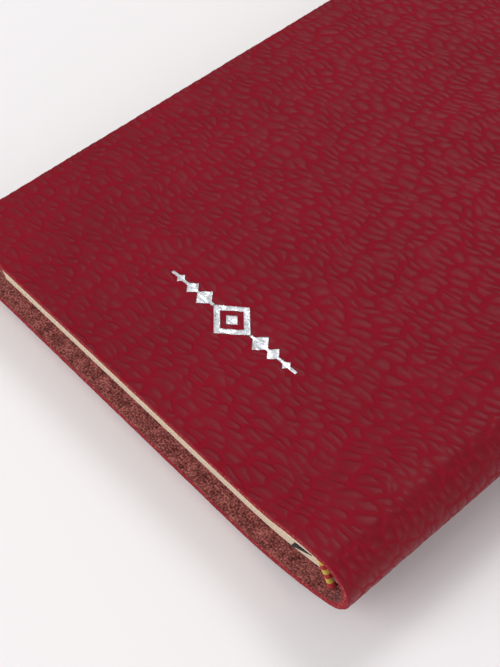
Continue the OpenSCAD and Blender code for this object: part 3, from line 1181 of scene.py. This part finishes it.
@dataclass
class Ribbon:
    """The ribbon marker, lying in the first pages with its slanting end showing."""

    section: Section
    satin: bpy.types.Material
    thickness: float = 0.25 * MM
    width: float = 4.4 * MM
    turn: float = 30 * MM
    clearance: float = 0.1 * MM
    # How much thinner its sides are than its middle, and how far its underside
    # stays off the leaf below
    thin_sides: float = 0.1
    underside: float = 0.02 * MM
    # Rows crowd towards the tail, where the end shows
    crowding: float = 1.5
    rows: int = 60
    columns: int = 10

    def __post_init__(self) -> None:
        """Takes the ribbon's place from its CAD node."""
        low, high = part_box("ribbon_marker")
        self.low_x = low.x
        self.tail_y, self.head_y = low.y, high.y
        self.high_x = low.x + self.width
        self.shift = high.x - self.high_x

    def room(self, stack: float) -> tuple[float, float, float]:
        """The room that leaves of the section above it leave for it.

        Args:
            stack: height of the ribbon's underside in the flat stack.

        Returns:
            From x, to x and the height up to which the leaves are cut.
        """
        return self.low_x - self.clearance, self.high_x + self.clearance, stack + self.thickness

    def build(self, stack: float) -> bpy.types.Object:
        """Makes the ribbon, stack high in the flat pile of leaves.

        Args:
            stack: height of its underside in the flat stack.

        Returns:
            The finished piece.
        """
        vertices = []
        for j in range(self.rows + 1):
            along = (j / self.rows) ** self.crowding
            for i in range(self.columns + 1):
                across = i / self.columns
                tail = self.tail_y + (self.section.page_tail_y - self.tail_y) * across
                y = tail + (self.head_y - tail) * along
                slide = self.shift * max(0.0, (y - (self.head_y - self.turn)) / self.turn)
                x = self.low_x + self.width * across + slide
                crown = 1 - self.thin_sides * (1 - math.sin(math.pi * across))
                z0 = self.section.leaf_z(x, stack)
                lift = self.thickness * crown
                vertices.append((x, y, z0 + lift))
                vertices.append((x, y, z0 + self.underside))
        wide = 2 * (self.columns + 1)
        faces = []
        for j in range(self.rows):
            for i in range(self.columns):
                a = j * wide + 2 * i
                faces.append((a, a + 2, a + wide + 2, a + wide))
                faces.append((a + 1, a + wide + 1, a + wide + 3, a + 3))
            a, b = j * wide, j * wide + 2 * self.columns
            faces.append((a, a + wide, a + wide + 1, a + 1))
            faces.append((b, b + 1, b + wide + 1, b + wide))
        for i in range(self.columns):
            a, b = 2 * i, self.rows * wide + 2 * i
            faces.append((a, a + 1, a + 3, a + 2))
            faces.append((b, b + 2, b + 3, b + 1))
        obj = make_object("ribbon_marker_satin", vertices, faces, [self.satin])
        face_outwards(obj)
        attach(obj, "block")
        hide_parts("ribbon_marker")
        return obj


@dataclass
class Headband:
    """A headband: coloured thread wound over a core, on cloth glued to the folds."""

    section: Section
    block: PageBlock
    end: str
    red: bpy.types.Material
    yellow: bpy.types.Material
    bead_r: float = 0.8 * MM
    bead_out: float = 2.1 * MM
    thread_r: float = 0.14 * MM
    cloth_t: float = 0.3 * MM
    cloth_length: float = 9 * MM
    winds_per_stripe: int = 4
    # Spacing of the winds, for threads that just touch at 1, and the core's
    # radius, as a share of the bead's
    wind_spacing: float = 0.94
    core_share: float = 0.8
    # The foot is fatter and hangs lower than the rest
    foot_swell: float = 1.18
    foot_drop: float = 0.6 * MM

    def _axis(self) -> tuple[Vector, Vector]:
        """The core's lower and upper end.

        Returns:
            The two points.
        """
        s0 = self.block.first_s()
        s1 = s0 + self.block.section_t * (self.block.section_count - 1)
        side = -1 if self.end == "tail" else 1
        face = self.section.page_tail_y if self.end == "tail" else self.section.page_head_y
        y = face + side * (self.bead_out - self.bead_r)
        ends = []
        for s in (s0, s1):
            x = self.section.fold_x(s)
            ends.append(Vector((x - self.bead_r + self.cloth_t, y, self.section.leaf_z(x, s))))
        return ends[0] - (ends[1] - ends[0]).normalized() * self.foot_drop, ends[1]

    def _winding_tree(self) -> bpy.types.NodeTree:
        """The geometry tree that winds rings of thread along the core.

        Returns:
            The tree, made once.
        """
        if "winding" in _trees:
            return _trees["winding"]
        tree = node_group("headband_winding", [
            ("Start", "NodeSocketVector", None), ("End", "NodeSocketVector", None),
            ("Winds", "NodeSocketInt", 40), ("Core radius", "NodeSocketFloat", self.bead_r),
            ("Thread radius", "NodeSocketFloat", self.thread_r),
            ("Winds per stripe", "NodeSocketInt", self.winds_per_stripe)])
        start = add(tree, "NodeGroupInput")
        line = add(tree, "GeometryNodeMeshLine", {
            "Count": start.outputs["Winds"], "Start Location": start.outputs["Start"],
            "Offset": start.outputs["End"]}, mode="END_POINTS")
        way = add(tree, "ShaderNodeVectorMath", {0: start.outputs["End"], 1: start.outputs["Start"]},
                  operation="SUBTRACT")
        turn = add(tree, "FunctionNodeAlignRotationToVector", {"Vector": way}, axis="Z")
        circle = add(tree, "GeometryNodeCurvePrimitiveCircle",
                     {"Resolution": 20, "Radius": start.outputs["Core radius"]})
        strand = add(tree, "GeometryNodeCurvePrimitiveCircle",
                     {"Resolution": 8, "Radius": start.outputs["Thread radius"]})
        ring = add(tree, "GeometryNodeCurveToMesh", {"Curve": circle, "Profile Curve": strand})
        index = add(tree, "GeometryNodeInputIndex")
        swell = add(tree, "ShaderNodeMapRange",
                    {0: index, 1: 0, 2: self.winds_per_stripe + 1, 3: self.foot_swell, 4: 1.0},
                    interpolation_type="SMOOTHSTEP")
        wound = add(tree, "GeometryNodeInstanceOnPoints",
                    {"Points": line, "Instance": ring, "Rotation": turn, "Scale": swell})
        stripe = add(tree, "ShaderNodeMath", {0: index, 1: start.outputs["Winds per stripe"]},
                     operation="DIVIDE")
        stripe = add(tree, "ShaderNodeMath", {0: stripe}, operation="FLOOR")
        odd = add(tree, "ShaderNodeMath", {0: stripe, 1: 2.0}, operation="MODULO")
        stored = add(tree, "GeometryNodeStoreNamedAttribute",
                     {"Geometry": wound, "Name": "stripe", "Value": odd},
                     data_type="FLOAT", domain="INSTANCE")
        realized = add(tree, "GeometryNodeRealizeInstances", {0: stored})
        which = add(tree, "GeometryNodeInputNamedAttribute", {"Name": "stripe"}, data_type="FLOAT")
        is_odd = add(tree, "ShaderNodeMath", {0: which, 1: 0.5}, operation="GREATER_THAN")
        red = add(tree, "GeometryNodeSetMaterial", {"Geometry": realized, "Material": self.red})
        both = add(tree, "GeometryNodeSetMaterial",
                   {"Geometry": red, "Selection": is_odd, "Material": self.yellow})
        add(tree, "NodeGroupOutput", {0: both})
        _trees["winding"] = tree
        return tree

    def build(self) -> bpy.types.Object:
        """Makes the winding and its cloth, as one piece.

        Returns:
            The finished piece.
        """
        low, high = self._axis()
        name = f"{self.end}_headband_winding"
        obj = make_object(name, [(0, 0, 0)], [], [self.red, self.yellow])
        length = (high - low).length
        winds = max(2, round(length / (2 * self.thread_r * self.wind_spacing)))
        # The rings' outer face is the bead's, so the core is a thread thinner
        use_group(obj, self._winding_tree(), **{
            "Start": low, "End": high, "Winds": winds, "Core radius": self.bead_r - self.thread_r,
            "Thread radius": self.thread_r, "Winds per stripe": self.winds_per_stripe})
        bake_nodes(obj)
        self._join_core_and_cloth(obj, low, high)
        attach(obj, "block")
        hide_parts(f"{self.end}_headband")
        return obj

    def _join_core_and_cloth(self, obj: bpy.types.Object, low: Vector, high: Vector) -> None:
        """Adds the core inside the winding, and the strip of cloth on the folds.

        Args:
            obj: the baked winding.
            low: the core's lower end.
            high: the core's upper end.
        """
        work = bmesh.new()
        work.from_mesh(obj.data)
        way = high - low
        turn = way.to_track_quat("Z", "Y").to_matrix().to_4x4()
        core_r = self.bead_r * self.core_share
        bmesh.ops.create_cone(work, cap_ends=True, segments=20, radius1=core_r, radius2=core_r,
                              depth=way.length,
                              matrix=Matrix.Translation((low + high) / 2) @ turn)
        side = 1 if self.end == "tail" else -1
        face = self.section.page_tail_y if self.end == "tail" else self.section.page_head_y
        count = self.block.section_count
        rings = []
        start = face - side * (self.bead_out - self.bead_r)
        for i in range(count):
            s = self.block.first_s() + i * self.block.section_t
            x = self.section.fold_x(s)
            z = self.section.leaf_z(x, s)
            stop = face + side * self.cloth_length
            corners = [(x, start), (x + self.cloth_t, start), (x + self.cloth_t, stop), (x, stop)]
            rings.append([work.verts.new((cx, cy, z)) for cx, cy in corners])
        for first, second in zip(rings, rings[1:]):
            for k in range(4):
                work.faces.new((first[k], first[(k + 1) % 4], second[(k + 1) % 4], second[k]))
        work.faces.new(rings[0][::-1])
        work.faces.new(rings[-1])
        bmesh.ops.recalc_face_normals(work, faces=work.faces)
        work.to_mesh(obj.data)
        work.free()


@dataclass(frozen=True)
class Patch:
    """A convex patch of foil, or a hole in one, as half-planes round a middle."""

    middle_x: float
    planes: tuple[tuple[float, float, float], ...]
    hole: bool = False

    @classmethod
    def lozenge(cls, middle_x: float, width: float, height: float, hole: bool = False) -> "Patch":
        """A lozenge standing on its point.

        Args:
            middle_x: place of its middle along the ornament.
            width: from point to point, along X.
            height: from point to point, along Y.
            hole: takes foil away in place of adding it.

        Returns:
            The patch.
        """
        steep = math.hypot(width, height)
        corner = width * height / 2 / steep
        signs = ((1, 1), (1, -1), (-1, 1), (-1, -1))
        return cls(middle_x, tuple((a * height / steep, b * width / steep, corner) for a, b in signs), hole)

    @classmethod
    def bar(cls, middle_x: float, width: float, height: float) -> "Patch":
        """A straight line of foil.

        Args:
            middle_x: place of its middle along the ornament.
            width: its length along X.
            height: its width along Y.

        Returns:
            The patch.
        """
        return cls(middle_x, ((1, 0, width / 2), (-1, 0, width / 2), (0, 1, height / 2), (0, -1, height / 2)))

    def holds(self, x: float, y: float) -> bool:
        """Whether a point lies in the patch.

        Args:
            x: place along the ornament.
            y: place across it.

        Returns:
            True inside.
        """
        return all(a * (x - self.middle_x) + b * y <= reach for a, b, reach in self.planes)


@dataclass
class FoilOrnament:
    """A row of lozenges stamped in silver foil on the back cover."""

    section: Section
    foil: bpy.types.Material
    lift: float = 0.035 * MM
    thickness: float = 0.03 * MM
    cell: float = 0.3 * MM
    middle_ratio: float = 1.2
    frame_h: float = 3.2 * MM
    heart_h: float = 2.8 * MM
    small_h: float = 4.2 * MM
    line_h: float = 0.6 * MM
    first_at: float = 0.225
    step_out: float = 0.1
    shrink: float = 0.25

    def groups(self, width: float, height: float) -> list[tuple[float, float, float, list[Patch]]]:
        """The patches that are cut from one piece of film.

        Args:
            width: the whole ornament's width.
            height: the whole ornament's height.

        Returns:
            From x, to x, height and patches of each group.
        """
        big_w = height * self.middle_ratio
        hole_h = height - self.frame_h
        middle = [Patch.lozenge(0, big_w, height), Patch.lozenge(0, hole_h * self.middle_ratio, hole_h, True)]
        heart_w = self.heart_h * self.middle_ratio
        found = [(-big_w / 2, big_w / 2, height, middle),
                 (-heart_w / 2, heart_w / 2, self.heart_h, [Patch.lozenge(0, heart_w, self.heart_h)])]
        for side in (-1, 1):
            ends = sorted((side * big_w / 2, side * width / 2))
            patches = [Patch.bar(sum(ends) / 2, ends[1] - ends[0], self.line_h)]
            for k in range(3):
                size = self.small_h * (1 - self.shrink * k)
                patches.append(Patch.lozenge(side * width * (self.first_at + self.step_out * k), size, size))
            found.append((*ends, self.small_h, patches))
        return found

    def _cut(self, work: bmesh.types.BMesh, centre: Vector, x0: float, x1: float, height: float,
             patches: list[Patch]) -> None:
        """Lays a fine grid, cuts it along every outline and drops what lies outside.

        Args:
            work: the mesh that gets the foil.
            centre: the ornament's middle.
            x0: where the film starts.
            x1: where it ends.
            height: its width along Y.
            patches: what is kept of it.
        """
        columns = math.ceil((x1 - x0) / self.cell)
        rows = math.ceil(height / self.cell)
        grid = [[work.verts.new((centre.x + x0 + (x1 - x0) * i / columns,
                                 centre.y + height * (j / rows - 0.5), self.section.closed_t))
                 for j in range(rows + 1)] for i in range(columns + 1)]
        faces = {work.faces.new((grid[i][j], grid[i + 1][j], grid[i + 1][j + 1], grid[i][j + 1]))
                 for i in range(columns) for j in range(rows)}
        for patch in patches:
            for a, b, reach in patch.planes:
                edges = {edge for face in faces for edge in face.edges}
                verts = {vert for face in faces for vert in face.verts}
                spot = centre + Vector((patch.middle_x + a * reach, b * reach, 0))
                cut = bmesh.ops.bisect_plane(work, geom=[*faces, *edges, *verts], plane_co=spot,
                                             plane_no=(a, b, 0), dist=1e-8)
                faces = {item for item in cut["geom"] if isinstance(item, bmesh.types.BMFace)}
        waste = []
        for face in faces:
            middle = face.calc_center_median() - centre
            solid = any(p.holds(middle.x, middle.y) for p in patches if not p.hole)
            holed = any(p.holds(middle.x, middle.y) for p in patches if p.hole)
            if holed or not solid:
                waste.append(face)
        bmesh.ops.delete(work, geom=waste, context="FACES")

    def build(self) -> bpy.types.Object:
        """Makes the foil as a thin film that follows the grain.

        Returns:
            The finished piece.
        """
        low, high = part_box("foil_ornament")
        centre = Vector(((low.x + high.x) / 2, (low.y + high.y) / 2, 0))
        work = bmesh.new()
        for x0, x1, height, patches in self.groups(high.x - low.x, high.y - low.y):
            self._cut(work, centre, x0, x1, height, patches)
        mesh = bpy.data.meshes.new("silver_foil_ornament")
        work.to_mesh(mesh)
        work.free()
        return self._finish(mesh)

    def _finish(self, mesh: bpy.types.Mesh) -> bpy.types.Object:
        """Presses the film into the grain and gives it its thickness.

        Args:
            mesh: the flat film, cut to shape.

        Returns:
            The finished piece.
        """
        mesh.materials.append(self.foil)
        mesh.shade_smooth()
        obj = bpy.data.objects.new(mesh.name, mesh)
        bpy.context.scene.collection.objects.link(obj)
        total = self.section.line(Cover.BACK, MM, 0)[-1, 4]
        hide = [(-(total - (v.co.x - self.section.fore_x)) / MM, v.co.y / MM, 0) for v in mesh.vertices]
        count = len(mesh.vertices)
        add_attribute(obj, "hide", "FLOAT_VECTOR", "POINT", hide)
        add_attribute(obj, "grain_mask", "FLOAT", "POINT", np.ones(count))
        add_attribute(obj, "outward", "FLOAT_VECTOR", "POINT", np.tile((0.0, 0.0, 1.0), (count, 1)))
        add_attribute(obj, "side", "INT", "FACE", np.full(len(mesh.polygons), len(Side)))
        use_group(obj, _trees["relief"], Depth=GRAIN.depth_mm * MM)
        bake_nodes(obj)
        for vertex in obj.data.vertices:
            vertex.co.z += self.lift + self.thickness
        thicken = obj.modifiers.new("film", "SOLIDIFY")
        thicken.thickness = self.thickness
        thicken.offset = -1
        bake_nodes(obj)
        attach(obj, "back_cover")
        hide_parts("foil_ornament")
        return obj


# --------------------------------------------------------------------- studio


@dataclass
class Studio:
    """A pale floor, soft light from the fore edge and tail, and the camera."""

    camera_at: tuple[float, float, float] = (0.12675, -0.1394, 0.1894)
    aim_at: tuple[float, float, float] = (-0.0043, -0.0460, 0.0)
    roll: float = math.radians(-7.3)
    lens_mm: float = 43.8
    sensor_mm: float = 24.0
    floor_colour: str = "#eeebec"
    ambient: float = 0.46
    floor_reach: float = 4.0
    floor_drop: float = 0.02 * MM
    # Name, place, side and power of each light
    lights: tuple[tuple[str, tuple[float, float, float], float, float], ...] = (
        ("key_light", (-0.35, 0.5, 0.95), 0.4, 4.0),
        ("tail_light", (-0.3, -1.0, 0.6), 1.0, 8.5),
        ("spine_light", (1.0, -0.1, 0.5), 0.7, 3.4))

    def build(self) -> None:
        """Makes the floor, the lights and the camera."""
        self._floor()
        self._world()
        for light in self.lights:
            self._area(*light)
        self._camera()

    def _floor(self) -> None:
        """The floor that the notebook lies on."""
        signs = ((-1, -1), (1, -1), (1, 1), (-1, 1))
        corners = [(a * self.floor_reach, b * self.floor_reach, -self.floor_drop) for a, b in signs]
        floor = make_object("floor", corners, [(0, 1, 2, 3)], [])
        material, tree, shader = new_material("matt_studio_paper")
        connect(tree, shader, {"Base Color": linear(self.floor_colour), "Roughness": 0.95,
                               "Specular IOR Level": 0.1})
        floor.data.materials.append(material)

    def _world(self) -> None:
        """Even light from all round."""
        world = bpy.data.worlds.new("studio")
        world.use_nodes = True
        background = world.node_tree.nodes["Background"]
        background.inputs["Color"].default_value = (1, 1, 1, 1)
        background.inputs["Strength"].default_value = self.ambient
        bpy.context.scene.world = world
        bpy.context.scene.view_settings.view_transform = "Standard"

    def _area(self, name: str, place: tuple[float, float, float], size: float, power: float) -> None:
        """A square soft light aimed at the notebook.

        Args:
            name: the light's name.
            place: where it stands.
            size: length of its side.
            power: in watts.
        """
        light = bpy.data.lights.new(name, "AREA")
        light.size = size
        light.energy = power
        obj = bpy.data.objects.new(name, light)
        obj.location = place
        obj.rotation_euler = (-Vector(place)).to_track_quat("-Z", "Y").to_euler()
        bpy.context.scene.collection.objects.link(obj)

    def _camera(self) -> None:
        """The camera, aimed and rolled about its own line of sight."""
        data = bpy.data.cameras.new("camera")
        data.sensor_fit = "VERTICAL"
        data.sensor_height = self.sensor_mm
        data.lens = self.lens_mm
        data.clip_start = 0.01
        camera = bpy.data.objects.new("camera", data)
        sight = (Vector(self.aim_at) - Vector(self.camera_at)).normalized()
        level = sight.cross(Vector((0, 0, 1))).normalized()
        upright = level.cross(sight)
        right = level * math.cos(self.roll) + upright * math.sin(self.roll)
        up = right.cross(sight)
        turn = Matrix((right, up, -sight)).transposed().to_4x4()
        camera.matrix_world = Matrix.Translation(self.camera_at) @ turn
        bpy.context.scene.collection.objects.link(camera)
        bpy.context.scene.camera = camera


def main() -> None:
    """Builds the notebook piece by piece, then the studio."""
    logging.basicConfig(level=logging.INFO, format="%(name)s: %(message)s")
    section = Section()
    leather = {Side.GRAIN: DyedLeather().build(), Side.EDGE: CutEdge().build(), Side.FLESH: Suede().build()}
    for cover in Cover:
        skin = LeatherSkin(section, cover, leather).build()
        LOG.info("%s: %d faces", skin.name, len(skin.data.polygons))

    block = PageBlock(
        section, Paper().build(), Paper("cream_endpaper", "#ecdecb", "#e8d8c2").build(),
        SpunThread("waxed_linen_thread", "#efe9dc", "#b8ae9a").build(),
        WovenCloth("open_weave_cotton_lining", "#d9d2c2", "#9a927f", 0.5).build())
    ribbon = Ribbon(section, WovenCloth("black_satin_ribbon", "#25202a", "#0c0a0d", 0.25, 0.45).build())
    ribbon_stack = block.section_s(2)
    for number in range(1, block.section_count + 1):
        room = ribbon.room(ribbon_stack) if number == 2 else None
        piece = block.build_section(number, room)
        LOG.info("%s: %d faces", piece.name, len(piece.data.polygons))
    block.dress_nodes()
    LOG.info("%s: laid in", ribbon.build(ribbon_stack).name)

    red = SpunThread("red_cotton_thread", "#cc0008", "#7a0004").build()
    yellow = SpunThread("yellow_cotton_thread", "#e3cb4c", "#a5862a").build()
    for end in ("tail", "head"):
        LOG.info("%s: wound", Headband(section, block, end, red, yellow).build().name)
    LOG.info("%s: stamped", FoilOrnament(section, StampedFoil().build()).build().name)
    Studio().build()


if __name__ == "__main__":
    main()
